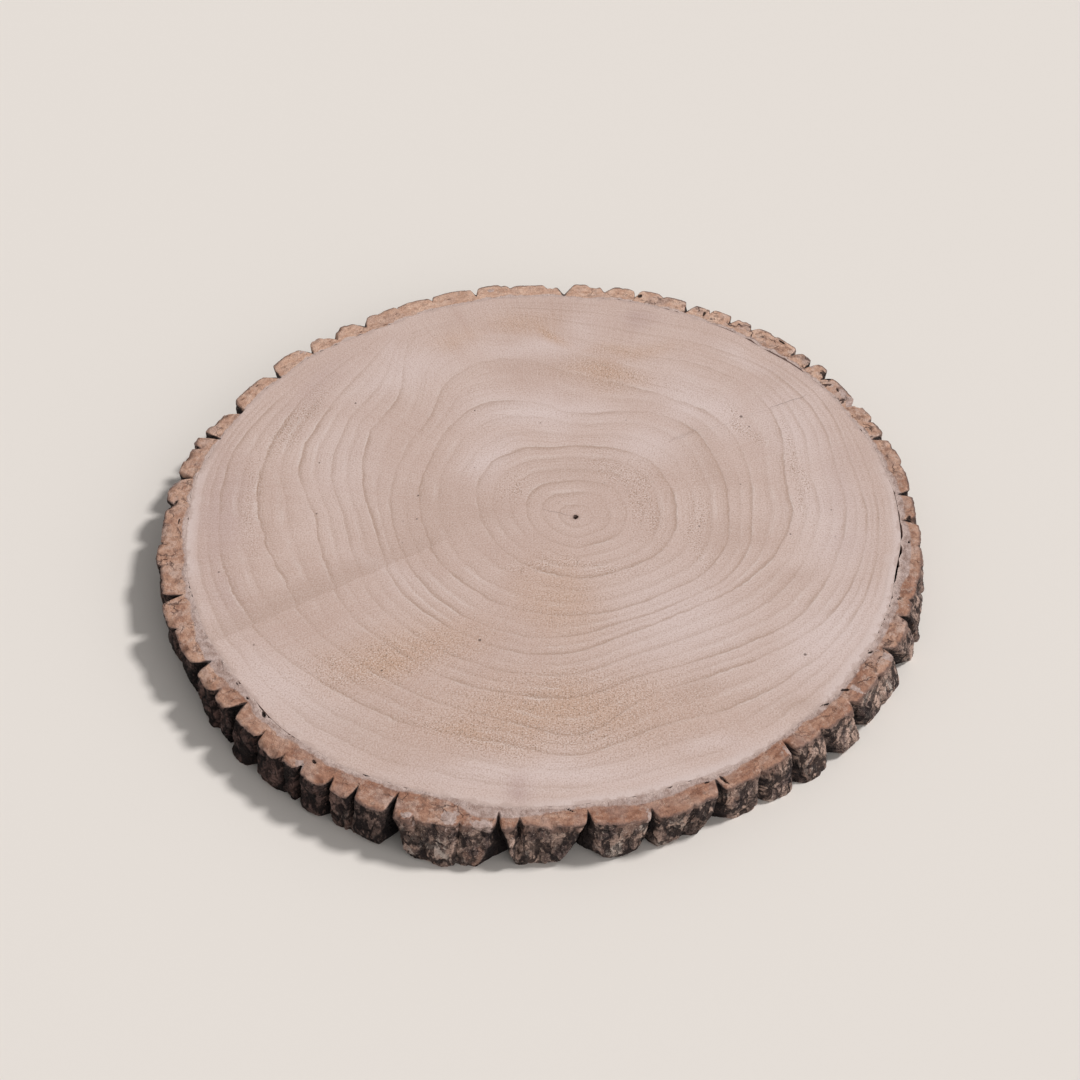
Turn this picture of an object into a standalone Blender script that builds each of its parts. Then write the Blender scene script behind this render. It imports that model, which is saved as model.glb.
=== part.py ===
"""A round slice of a tree trunk, lying flat: a disc of wood in its ring of ridged bark.

Metres, +Z up. The slice rests on z = 0, and the middle of its box is on the Z axis.
Angles are in degrees, anticlockwise from +X, seen from above.
"""
import math

import bmesh
import bpy
import numpy as np

MM = 0.001

# The whole slice
THICKNESS = 20 * MM
# Radius of the wood, every 15 degrees round the slice
WOOD_RADII_MM = [
    144.5, 146.2, 146.5, 146.2, 146.6, 145.5, 144.4, 143.2, 141.8, 143.0, 143.4, 143.2,
    142.4, 141.2, 140.0, 141.0, 141.3, 140.6, 140.6, 140.1, 140.1, 140.5, 141.1, 142.6]
# Radius of the bark over its ridges, every 15 degrees, at the upper face and at the lower
TOP_RADII_MM = [
    152.6, 155.2, 155.0, 156.6, 155.8, 154.8, 153.0, 152.6, 151.6, 151.2, 151.2, 153.8,
    152.8, 153.0, 151.8, 152.0, 153.3, 153.2, 150.0, 152.2, 149.8, 149.8, 151.2, 151.8]
FOOT_RADII_MM = [
    153.8, 155.6, 155.2, 157.0, 156.2, 155.2, 153.8, 153.2, 152.8, 152.4, 152.0, 153.6,
    153.4, 152.8, 152.6, 154.4, 154.6, 157.0, 153.0, 150.8, 150.6, 153.0, 155.0, 156.0]
# The wall keeps near its lower radius until close under the upper face, and is tucked in at its foot
TOP_POWER = 1.6
FOOT_TUCK = 0.9 * MM
TUCK_LEVEL = 0.25
# Small waves of the line between wood and bark: waves a turn, height in mm, phase
WOOD_WAVES = [(11, 0.35, 0.6), (19, 0.25, 2.1), (31, 0.2, 4.0)]

# The pith, a fine channel off the middle
PITH_PLACE = (14.2 * MM, 4.4 * MM)
PITH_RADIUS = 1.1 * MM
PITH_SIDES = 12

# The seam between wood and bark, with the stretches where it has opened as it dried
SEAM = 0.3 * MM
# Middle of the stretch, half its length in degrees, how wide it opens in mm
OPEN_SEAMS = [(47, 12, 0.9), (355, 13, 0.9), (223, 3, 0.5), (228, 2, 0.4)]

# Fissures between the ridges: angle, depth and width in mm at the upper face, then how many
# degrees further round the fissure comes down, and its depth and width in mm there
FISSURES = [
    (0.9, 4.0, 4.0, 1.0, 3.0, 7.0), (6.7, 4.3, 4.0, 1.2, 3.0, 6.0), (13.5, 0.8, 4.0, 0.5, 1.0, 5.0),
    (19.8, 5.0, 4.0, 0.7, 4.0, 7.0), (23.8, 2.3, 3.0, 0.0, 1.5, 4.0), (28.7, 3.0, 3.5, 0.5, 3.0, 6.0),
    (36.0, 4.0, 6.0, 0.5, 4.5, 8.0), (39.7, 5.0, 3.5, 0.5, 2.5, 5.0), (43.3, 4.2, 4.5, -0.8, 4.0, 7.0),
    (52.3, 3.0, 6.0, 0.8, 3.5, 7.0), (56.0, 4.5, 4.0, 0.8, 3.0, 5.0), (60.2, 2.0, 2.5, 0.5, 1.5, 4.0),
    (64.0, 6.0, 5.0, -1.0, 5.0, 8.0), (69.0, 1.0, 5.0, -0.5, 1.0, 5.0), (73.5, 4.0, 4.0, 0.6, 4.0, 6.0),
    (78.8, 2.6, 6.0, 0.8, 3.0, 7.0), (85.7, 6.3, 9.0, 1.0, 5.5, 9.0), (95.3, 1.2, 5.0, 0.5, 2.0, 6.0),
    (101.3, 4.0, 3.5, -0.8, 3.5, 6.0), (108.9, 1.8, 2.5, -0.5, 2.0, 5.0), (115.0, 1.3, 2.5, 0.5, 2.0, 5.0),
    (122.3, 4.4, 9.0, 1.0, 4.5, 9.0), (127.9, 2.3, 6.0, 0.5, 3.0, 7.0), (133.5, 4.5, 7.0, -0.6, 4.5, 8.0),
    (141.6, 6.0, 8.5, -1.0, 5.0, 9.0), (151.8, 7.0, 8.5, 0.8, 6.0, 9.0), (159.5, 8.3, 4.5, 1.2, 6.0, 8.0),
    (162.4, 3.0, 3.0, 0.4, 2.0, 4.0), (169.2, 5.0, 4.5, -1.0, 4.5, 7.0), (175.6, 2.8, 6.0, 0.7, 3.5, 7.0),
    (184.0, 1.3, 2.0, 0.8, 2.5, 6.0), (188.6, 1.0, 2.0, -0.5, 1.0, 4.0), (195.3, 6.0, 5.8, 1.0, 2.5, 8.0),
    (201.8, 2.4, 2.0, 0.8, 2.0, 6.0), (210.0, 5.8, 7.3, -0.5, 3.8, 9.0), (215.6, 2.8, 4.0, 2.2, 4.5, 8.0),
    (220.3, 5.8, 7.5, -0.5, 3.0, 7.0), (226.2, 3.2, 2.8, -0.9, 3.8, 7.0), (231.3, 1.8, 2.5, 1.3, 2.5, 4.0),
    (234.6, 3.0, 3.5, -0.7, 2.5, 5.0), (239.4, 4.2, 3.5, 0.3, 5.0, 6.5), (243.7, 5.0, 3.0, -0.8, 1.0, 3.0),
    (249.3, 8.5, 4.5, 0.5, 10.0, 9.0), (252.7, 2.0, 1.8, 2.5, 1.0, 3.0), (259.0, 1.2, 2.0, -0.4, 1.0, 2.5),
    (264.0, 5.5, 3.5, 1.5, 7.5, 16.0), (267.1, 3.5, 2.8, -0.4, 0.5, 3.0), (276.8, 5.3, 3.5, -1.6, 7.5, 17.0),
    (285.8, 4.0, 3.5, -0.8, 3.5, 7.0), (291.5, 1.0, 3.0, -1.2, 1.0, 6.0), (296.1, 5.0, 3.5, -1.0, 5.0, 14.0),
    (302.9, 1.8, 3.0, 0.3, 3.0, 6.0), (308.8, 5.2, 4.0, 0.4, 2.4, 6.0), (314.6, 1.5, 3.0, 2.2, 4.0, 8.0),
    (321.5, 2.0, 5.0, 2.0, 5.5, 9.0), (328.0, 1.0, 3.0, 0.8, 1.5, 4.0), (333.5, 3.5, 4.5, 4.0, 4.5, 14.0),
    (340.4, 3.0, 4.0, 1.8, 3.5, 8.0), (344.1, 1.5, 3.0, 0.8, 1.0, 4.0), (348.5, 0.8, 3.0, 3.0, 3.5, 9.0),
    (355.5, 0.8, 2.0, 1.2, 1.0, 4.0)]
# A fissure is sharp at its root, and its sides round over into the ridges; it is fuller at the foot
CLEFT_POWER = 1.25
FOOT_POWER = 0.9
# Ridges are crowned, and break into scales one over the other
RIDGE_CROWN = 0.7 * MM
SCALE_RELIEF = 0.6 * MM
SCALE_WAVES = 9
SCALE_SEED = 4
LEAST_BARK = 1.6 * MM

# How finely the ridges are modelled: the step along a ridge, the place of the columns on each
# side of a fissure's root as a share of half its width, and how far that half may reach to the next
RIDGE_STEP_DEG = 1.8
NEAR_ROOT = 0.45
MOST_REACH = 0.42
WALL_LEVELS = [0.0, 0.1, 0.3, 0.5, 0.7, 0.87, 1.0]
WOOD_SIDES = 144
BLANK_RADIUS = 150 * MM
BLANK_WIDTH = 10 * MM
SHARP_EDGE = math.radians(40)


def around(values, angle):
    """Value of a list spread evenly round the circle, smooth from one entry to the next."""
    place = angle % 360 / 360 * len(values)
    start = int(place)
    t = place - start
    before, here, after, beyond = (values[(start + k) % len(values)] for k in (-1, 0, 1, 2))
    bend = (after - before) * t
    curve = (2 * before - 5 * here + 4 * after - beyond) * t * t
    twist = (3 * here - before - 3 * after + beyond) * t ** 3
    return here + 0.5 * (bend + curve + twist)


def waves(angle, terms):
    """Sum of sine waves round the circle."""
    turn = math.radians(angle)
    return sum(height * math.sin(count * turn + phase) for count, height, phase in terms)


def turn_between(angle, other):
    """Signed angle from other to angle, the short way round."""
    return (angle - other + 180) % 360 - 180


def wood_radius(angle):
    return (around(WOOD_RADII_MM, angle) + waves(angle, WOOD_WAVES)) * MM


def seam_width(angle):
    """Gap between wood and bark, wider along the open stretches."""
    opened = 0.0
    for middle, half, width in OPEN_SEAMS:
        reach = abs(turn_between(angle, middle)) / half
        if reach < 1:
            opened = max(opened, width * math.cos(reach * math.pi / 2))
    return SEAM + opened * MM


def ridge_place(angle):
    """Number of the ridge at an angle, and the place across it from 0 to 1."""
    along, number = min(((angle - row[0]) % 360, n) for n, row in enumerate(FISSURES))
    following = FISSURES[(number + 1) % len(FISSURES)][0]
    return number, along / ((following - FISSURES[number][0]) % 360)


def fissure_drift(angle, level):
    """How far the wall has turned at a level, 1 at the top and 0 at the bottom, to follow its fissures."""
    number, across = ridge_place(angle)
    here = FISSURES[number][3]
    after = FISSURES[(number + 1) % len(FISSURES)][3]
    return (here + (after - here) * across) * (1 - level)


def fissure_depth(angle, level):
    """Depth of the deepest fissure at an angle."""
    depth = 0.0
    power = FOOT_POWER + (CLEFT_POWER - FOOT_POWER) * level
    for place, top_deep, top_width, _, foot_deep, foot_width in FISSURES:
        deep = foot_deep + (top_deep - foot_deep) * level
        width = foot_width + (top_width - foot_width) * level
        reach = abs(turn_between(angle, place)) / math.degrees(width / 2 * MM / BLANK_RADIUS)
        if reach < 1:
            depth = max(depth, deep * (1 - reach) ** power)
    return depth * MM


def ridge_radius(angle, level):
    """Radius over the ridges: from the lower outline to the upper one, tucked in at the foot."""
    top = around(TOP_RADII_MM, angle) * MM
    foot = around(FOOT_RADII_MM, angle) * MM
    tuck = max(0.0, 1 - level / TUCK_LEVEL)
    return foot + (top - foot) * level ** TOP_POWER - FOOT_TUCK * tuck ** 2


def bark_radius(angle, level, scales):
    """Outer radius of the bark: ridges, their scales and the fissures between them."""
    ridge, across = ridge_place(angle)
    crown = RIDGE_CROWN * (2 * across - 1) ** 4
    wave = math.sin(SCALE_WAVES * level + scales[ridge, 0]) * math.sin(math.pi * across)
    relief = SCALE_RELIEF * (scales[ridge, 1] + wave)
    radius = ridge_radius(angle, level) + relief - crown - fissure_depth(angle, level)
    return max(radius, wood_radius(angle) + seam_width(angle) + LEAST_BARK)


def ring_columns():
    """Angles at which the bark is modelled: three across each fissure, the rest along the ridges."""
    angles = []
    for number, row in enumerate(FISSURES):
        following = FISSURES[(number + 1) % len(FISSURES)]
        gap = (following[0] - row[0]) % 360
        half, next_half = (min(math.degrees((each[2] + each[5]) / 4 * MM / BLANK_RADIUS), gap * MOST_REACH)
                           for each in (row, following))
        angles += [row[0], row[0] + half * NEAR_ROOT]
        start = row[0] + half
        end = row[0] + gap - next_half
        parts = max(1, round((end - start) / RIDGE_STEP_DEG))
        angles += [start + (end - start) * k / parts for k in range(parts + 1)]
        angles.append(end + next_half * (1 - NEAR_ROOT))
    return angles


def material(name, colour, roughness):
    made = bpy.data.materials.new(name)
    made.use_nodes = True
    shader = made.node_tree.nodes["Principled BSDF"]
    shader.inputs["Base Color"].default_value = (*colour, 1)
    shader.inputs["Roughness"].default_value = roughness
    shader.inputs["Metallic"].default_value = 0
    return made


def add_outline(curve, points):
    """One closed run of straight pieces through the points, in the plane of the curve."""
    spline = curve.splines.new("POLY")
    spline.points.add(len(points) - 1)
    for point, (x, y) in zip(spline.points, points):
        point.co = (x, y, 0, 1)
    spline.use_cyclic_u = True


def make_wood(collection):
    """The disc of wood, with the fine channel of the pith through it."""
    curve = bpy.data.curves.new("wood", "CURVE")
    curve.dimensions = "2D"
    curve.fill_mode = "BOTH"
    curve.extrude = THICKNESS / 2
    outline = []
    for step in range(WOOD_SIDES):
        angle = 360 * step / WOOD_SIDES
        turn = math.radians(angle)
        outline.append((wood_radius(angle) * math.cos(turn), wood_radius(angle) * math.sin(turn)))
    add_outline(curve, outline)
    pith = []
    for step in range(PITH_SIDES):
        turn = math.tau * step / PITH_SIDES
        pith.append((PITH_PLACE[0] + PITH_RADIUS * math.cos(turn),
                     PITH_PLACE[1] + PITH_RADIUS * math.sin(turn)))
    add_outline(curve, pith)
    wood = bpy.data.objects.new("wood", curve)
    wood.location.z = THICKNESS / 2
    curve.materials.append(material("wood", (0.60, 0.47, 0.39), 0.62))
    collection.objects.link(wood)
    return wood


def make_bark_blank(collection, steps):
    """A plain ring turned from a rectangle, which the ridges are then raised from."""
    profile = bpy.data.meshes.new("bark")
    work = bmesh.new()
    outer = [work.verts.new((BLANK_RADIUS, 0, level * THICKNESS)) for level in reversed(WALL_LEVELS)]
    inner = [work.verts.new((BLANK_RADIUS - BLANK_WIDTH, 0, level * THICKNESS)) for level in (0, 1)]
    loop = outer + inner
    for here, after in zip(loop, loop[1:] + loop[:1]):
        work.edges.new((here, after))
    work.to_mesh(profile)
    work.free()
    blank = bpy.data.objects.new("bark_blank", profile)
    collection.objects.link(blank)
    screw = blank.modifiers.new("turn", "SCREW")
    screw.steps = steps
    screw.render_steps = steps
    screw.use_merge_vertices = True
    screw.merge_threshold = 0.0001
    return blank


def make_bark(collection):
    """The ring of bark, with its ridges, scales and fissures."""
    columns = ring_columns()
    scales = np.random.default_rng(SCALE_SEED).uniform(-1, 1, (len(FISSURES), 2))
    scales[:, 0] *= math.pi
    blank = make_bark_blank(collection, len(columns))
    evaluated = blank.evaluated_get(bpy.context.evaluated_depsgraph_get())
    mesh = bpy.data.meshes.new_from_object(evaluated)
    bpy.data.objects.remove(blank)
    middle = BLANK_RADIUS - BLANK_WIDTH / 2
    for vertex in mesh.vertices:
        turned = math.atan2(vertex.co.y, vertex.co.x) / math.tau * len(columns)
        angle = columns[round(turned) % len(columns)]
        level = vertex.co.z / THICKNESS
        if math.hypot(vertex.co.x, vertex.co.y) > middle:
            radius = bark_radius(angle, level, scales)
            angle += fissure_drift(angle, level)
        else:
            radius = wood_radius(angle) + seam_width(angle)
        turn = math.radians(angle)
        vertex.co.x = radius * math.cos(turn)
        vertex.co.y = radius * math.sin(turn)
    mesh.name = "bark"
    mesh.shade_smooth()
    mesh.set_sharp_from_angle(angle=SHARP_EDGE)
    mesh.materials.append(material("bark", (0.14, 0.10, 0.08), 0.9))
    bark = bpy.data.objects.new("bark", mesh)
    collection.objects.link(bark)
    return bark


def centre_on_origin(bark, wood):
    """Slide the slice so that the middle of its box is over the origin."""
    xs = [vertex.co.x for vertex in bark.data.vertices]
    ys = [vertex.co.y for vertex in bark.data.vertices]
    for piece in (bark, wood):
        piece.location.x = -(min(xs) + max(xs)) / 2
        piece.location.y = -(min(ys) + max(ys)) / 2


def main():
    for thing in list(bpy.data.objects):
        bpy.data.objects.remove(thing)
    collection = bpy.data.collections.new("wood_slice")
    bpy.context.scene.collection.children.link(collection)
    wood = make_wood(collection)
    bark = make_bark(collection)
    centre_on_origin(bark, wood)


main()
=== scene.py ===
import math

import bmesh
import bpy
import numpy
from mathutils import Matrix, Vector, noise


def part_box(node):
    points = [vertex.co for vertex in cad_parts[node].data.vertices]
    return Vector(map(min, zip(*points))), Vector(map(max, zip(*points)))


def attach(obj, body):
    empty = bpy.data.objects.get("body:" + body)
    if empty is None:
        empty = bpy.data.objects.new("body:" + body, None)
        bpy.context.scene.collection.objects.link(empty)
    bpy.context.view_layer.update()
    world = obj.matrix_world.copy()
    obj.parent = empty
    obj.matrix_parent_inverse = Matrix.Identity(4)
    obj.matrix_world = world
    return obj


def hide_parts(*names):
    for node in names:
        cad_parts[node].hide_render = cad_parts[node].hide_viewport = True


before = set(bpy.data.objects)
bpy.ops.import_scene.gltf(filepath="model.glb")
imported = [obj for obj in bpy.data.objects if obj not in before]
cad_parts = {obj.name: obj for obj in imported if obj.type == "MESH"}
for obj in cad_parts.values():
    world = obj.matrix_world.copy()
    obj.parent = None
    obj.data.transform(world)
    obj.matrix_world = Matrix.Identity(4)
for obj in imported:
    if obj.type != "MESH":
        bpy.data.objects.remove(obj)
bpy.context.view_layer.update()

mm = 0.001

# The slice's own form, in mm and degrees. Angles run anticlockwise from +X, seen from above.
sliceForm = {
    "thickness": 20,
    "woodRadii": [144.5, 146.2, 146.5, 146.2, 146.6, 145.5, 144.4, 143.2, 141.8, 143.0, 143.4, 143.2,
                  142.4, 141.2, 140.0, 141.0, 141.3, 140.6, 140.6, 140.1, 140.1, 140.5, 141.1, 142.6],
    "topRadii": [152.6, 155.2, 155.0, 156.6, 155.8, 154.8, 153.0, 152.6, 151.6, 151.2, 151.2, 153.8,
                 152.8, 153.0, 151.8, 152.0, 153.3, 153.2, 150.0, 152.2, 149.8, 149.8, 151.2, 151.8],
    "footRadii": [153.8, 155.6, 155.2, 157.0, 156.2, 155.2, 153.8, 153.2, 152.8, 152.4, 152.0, 153.6,
                  153.4, 152.8, 152.6, 154.4, 154.6, 157.0, 153.0, 150.8, 150.6, 153.0, 155.0, 156.0],
    "topPower": 1.6, "footTuck": 0.9, "tuckLevel": 0.25,
    "woodWaves": [(11, 0.35, 0.6), (19, 0.25, 2.1), (31, 0.2, 4.0)],      # waves a turn, mm, phase
    "pith": (14.2, 4.4),
    "pithRadius": 1.1,
    "openSeams": [(47, 12, 0.9), (355, 13, 0.9), (223, 3, 0.5), (228, 2, 0.4)],  # middle, half, mm
}


# Curves round the slice

def around(values, angle):
    place = angle % 360 / 360 * len(values)
    start = int(place)
    t = place - start
    before, here, after, beyond = (values[(start + k) % len(values)] for k in (-1, 0, 1, 2))
    bend = (after - before) * t
    curve = (2 * before - 5 * here + 4 * after - beyond) * t * t
    twist = (3 * here - before - 3 * after + beyond) * t ** 3
    return here + 0.5 * (bend + curve + twist)


def waves(angle, terms):
    turn = math.radians(angle)
    return sum(height * math.sin(count * turn + phase) for count, height, phase in terms)


def turnBetween(angle, other):
    return (angle - other + 180) % 360 - 180


def woodRadius(angle):
    return around(sliceForm["woodRadii"], angle) + waves(angle, sliceForm["woodWaves"])


def ramp(value, low, high):
    t = min(1, max(0, (value - low) / (high - low)))
    return t * t * (3 - 2 * t)


def cadMiddle():      # where the CAD keeps the middle that the radii are measured from
    points = [(woodRadius(a), math.radians(a)) for a in range(0, 360, 2)]
    xs = [r * math.cos(t) for r, t in points]
    ys = [r * math.sin(t) for r, t in points]
    low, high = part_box("wood")
    return ((low[0] + high[0]) / 2 - (min(xs) + max(xs)) / 2 * mm,
            (low[1] + high[1]) / 2 - (min(ys) + max(ys)) / 2 * mm)


middle = cadMiddle()
print("slice form read, middle at", [round(v / mm, 2) for v in middle], "mm")


# Camera, floor and light

cameraSet = {
    "elevation": 46,          # degrees above the upper face
    "lens": 70,
    "distance": 0.84,         # to the upper face, in metres
    "aim": (-0.16, -8.52, 20),   # mm, what the middle of the picture looks at
}


def addCamera():
    rise = math.radians(cameraSet["elevation"])
    away = Vector((0, -math.cos(rise), math.sin(rise)))
    cameraData = bpy.data.cameras.new("camera")
    cameraData.lens = cameraSet["lens"]
    cameraData.sensor_width = 36
    cameraData.clip_start = 0.01
    camera = bpy.data.objects.new("camera", cameraData)
    aim = Vector(cameraSet["aim"]) * mm + Vector((*middle, 0))
    camera.location = aim + away * cameraSet["distance"]
    camera.rotation_euler = (math.pi / 2 - rise, 0, 0)
    bpy.context.scene.collection.objects.link(camera)
    bpy.context.scene.camera = camera


studio = {
    "floorColour": (0.80, 0.755, 0.715),
    "floorSize": 60,
    "sunPower": 2.25,
    "sunColour": (1.0, 0.985, 0.965),
    "sunTurn": 15,            # degrees from +X towards the back
    "sunRise": 52,
    "sunSoftness": 10,        # degrees across
    "fillPower": 0.75,
    "fillTurn": -45,
    "fillRise": 25,
    "fillSoftness": 55,
    "skyPower": 0.31,
    "skyColour": (1.0, 0.985, 0.97),
}


def addFloor():
    bm = bmesh.new()
    bmesh.ops.create_grid(bm, x_segments=1, y_segments=1, size=studio["floorSize"] / 2)
    mesh = bpy.data.meshes.new("floor")
    bm.to_mesh(mesh)
    bm.free()
    floor = bpy.data.objects.new("floor", mesh)
    bpy.context.scene.collection.objects.link(floor)
    paint = bpy.data.materials.new("floorPaint")
    paint.use_nodes = True
    shader = paint.node_tree.nodes["Principled BSDF"]
    shader.inputs["Base Color"].default_value = (*studio["floorColour"], 1)
    shader.inputs["Roughness"].default_value = 0.9
    mesh.materials.append(paint)


def addLight():
    for name in ("sun", "fill"):
        lampData = bpy.data.lights.new(name, "SUN")
        lampData.energy = studio[name + "Power"]
        lampData.color = studio["sunColour"]
        lampData.angle = math.radians(studio[name + "Softness"])
        lamp = bpy.data.objects.new(name, lampData)
        turn, rise = math.radians(studio[name + "Turn"]), math.radians(studio[name + "Rise"])
        towards = Vector((math.cos(turn) * math.cos(rise), math.sin(turn) * math.cos(rise), math.sin(rise)))
        lamp.rotation_euler = towards.to_track_quat("Z", "Y").to_euler()
        bpy.context.scene.collection.objects.link(lamp)
    world = bpy.data.worlds.new("studio")
    world.use_nodes = True
    sky = world.node_tree.nodes["Background"]
    sky.inputs["Color"].default_value = (*studio["skyColour"], 1)
    sky.inputs["Strength"].default_value = studio["skyPower"]
    bpy.context.scene.world = world
    bpy.context.scene.view_settings.view_transform = "Standard"


addCamera()
addFloor()
addLight()
print("camera, floor and light set")


# Node helpers

class NodeSheet:      # places nodes in one tree, and links values or sockets into them
    def __init__(self, tree):
        self.tree = tree

    def add(self, kind, settings=None, **inputs):
        node = self.tree.nodes.new(kind)
        for name, value in (settings or {}).items():
            setattr(node, name, value)
        for name, value in inputs.items():
            self.feed(node, name.replace("_", " "), value)
        return node

    def feed(self, node, name, value):
        socket = node.inputs[int(name[3:])] if name.startswith("in ") else node.inputs[name]
        if isinstance(value, bpy.types.NodeSocket):
            self.tree.links.new(value, socket)
        else:
            socket.default_value = value

    def maths(self, how, *values, clamp=False):
        node = self.add("ShaderNodeMath", {"operation": how, "use_clamp": clamp})
        for number, value in enumerate(values):
            self.feed(node, "in " + str(number), value)
        return node.outputs[0]

    def spread(self, value, low, high, toLow=0.0, toHigh=1.0, how="SMOOTHSTEP"):
        node = self.add("ShaderNodeMapRange", {"interpolation_type": how})
        for name, given in (("Value", value), ("From Min", low), ("From Max", high),
                            ("To Min", toLow), ("To Max", toHigh)):
            self.feed(node, name, given)
        return node.outputs["Result"]

    def mix(self, share, first, second, how="MIX"):
        node = self.add("ShaderNodeMix", {"data_type": "RGBA", "blend_type": how})
        self.feed(node, "Factor", share)
        for place, given in ((6, first), (7, second)):
            if isinstance(given, bpy.types.NodeSocket):
                self.tree.links.new(given, node.inputs[place])
            else:
                node.inputs[place].default_value = (*given, 1)
        return node.outputs[2]

    def noise(self, vector, scale, detail=3.0, roughness=0.55, distortion=0.0):
        node = self.add("ShaderNodeTexNoise", Vector=vector, Scale=scale, Detail=detail,
                        Roughness=roughness, Distortion=distortion)
        return node.outputs["Fac"]

    def mark(self, name):
        return self.add("ShaderNodeAttribute", {"attribute_name": name}).outputs["Fac"]


def newGroup(name, inputs, outputs):
    group = bpy.data.node_groups.new(name, "ShaderNodeTree")
    for label, kind, value in inputs:
        socket = group.interface.new_socket(name=label, in_out="INPUT", socket_type=kind)
        if value is not None:
            socket.default_value = value
    for label, kind in outputs:
        group.interface.new_socket(name=label, in_out="OUTPUT", socket_type=kind)
    sheet = NodeSheet(group)
    entry = group.nodes.new("NodeGroupInput")
    leave = group.nodes.new("NodeGroupOutput")
    return group, sheet, entry, leave


def buildSpecks():      # small round dots, of uneven darkness, thinned out by a patchy noise
    group, sheet, entry, leave = newGroup(
        "specks",
        [("Vector", "NodeSocketVector", None), ("Scale", "NodeSocketFloat", 900.0),
         ("Size", "NodeSocketFloat", 0.25), ("Share", "NodeSocketFloat", 0.5)],
        [("Mask", "NodeSocketFloat")])
    cell = sheet.add("ShaderNodeTexVoronoi", Vector=entry.outputs["Vector"], Scale=entry.outputs["Scale"])
    cellValue = sheet.add("ShaderNodeSeparateColor", Color=cell.outputs["Color"])
    wide = sheet.maths("MULTIPLY", entry.outputs["Size"], 1.8)
    dot = sheet.spread(cell.outputs["Distance"], entry.outputs["Size"], wide, 1.0, 0.0)
    low = sheet.maths("SUBTRACT", 1.0, entry.outputs["Share"])
    high = sheet.maths("ADD", low, 0.3)
    kept = sheet.spread(cellValue.outputs["Red"], low, high)
    sheet.tree.links.new(sheet.maths("MULTIPLY", dot, kept), leave.inputs["Mask"])
    return group


def buildPatches():      # soft islands with ragged edges
    group, sheet, entry, leave = newGroup(
        "patches",
        [("Vector", "NodeSocketVector", None), ("Scale", "NodeSocketFloat", 100.0),
         ("Low", "NodeSocketFloat", 0.5), ("High", "NodeSocketFloat", 0.6),
         ("Ragged", "NodeSocketFloat", 0.6)],
        [("Mask", "NodeSocketFloat")])
    cloud = sheet.noise(entry.outputs["Vector"], entry.outputs["Scale"], 6.0, entry.outputs["Ragged"])
    island = sheet.spread(cloud, entry.outputs["Low"], entry.outputs["High"])
    sheet.tree.links.new(island, leave.inputs["Mask"])
    return group


def buildPolarGrain():      # streaks that run round a centre or out from it
    group, sheet, entry, leave = newGroup(
        "polarGrain",
        [("Vector", "NodeSocketVector", None), ("Centre", "NodeSocketVector", (0.0, 0.0, 0.0)),
         ("Round", "NodeSocketFloat", 20.0), ("Out", "NodeSocketFloat", 100.0),
         ("Detail", "NodeSocketFloat", 3.0)],
        [("Value", "NodeSocketFloat")])
    offset = sheet.add("ShaderNodeVectorMath", {"operation": "SUBTRACT"}, in_0=entry.outputs["Vector"],
                       in_1=entry.outputs["Centre"])
    parts = sheet.add("ShaderNodeSeparateXYZ", Vector=offset.outputs[0])
    level = sheet.add("ShaderNodeCombineXYZ", X=parts.outputs["X"], Y=parts.outputs["Y"])
    length = sheet.add("ShaderNodeVectorMath", {"operation": "LENGTH"}, in_0=level.outputs[0])
    facing = sheet.add("ShaderNodeVectorMath", {"operation": "NORMALIZE"}, in_0=level.outputs[0])
    turned = sheet.add("ShaderNodeSeparateXYZ", Vector=facing.outputs[0])
    along = sheet.maths("MULTIPLY", length.outputs["Value"], entry.outputs["Out"])
    up = sheet.maths("MULTIPLY", parts.outputs["Z"], entry.outputs["Out"])
    across = sheet.maths("MULTIPLY", turned.outputs["X"], entry.outputs["Round"])
    over = sheet.maths("MULTIPLY", turned.outputs["Y"], entry.outputs["Round"])
    place = sheet.add("ShaderNodeCombineXYZ", X=across, Y=over, Z=sheet.maths("ADD", along, up))
    grain = sheet.noise(place.outputs[0], 1.0, entry.outputs["Detail"], 0.6)
    sheet.tree.links.new(grain, leave.inputs["Value"])
    return group


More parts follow.
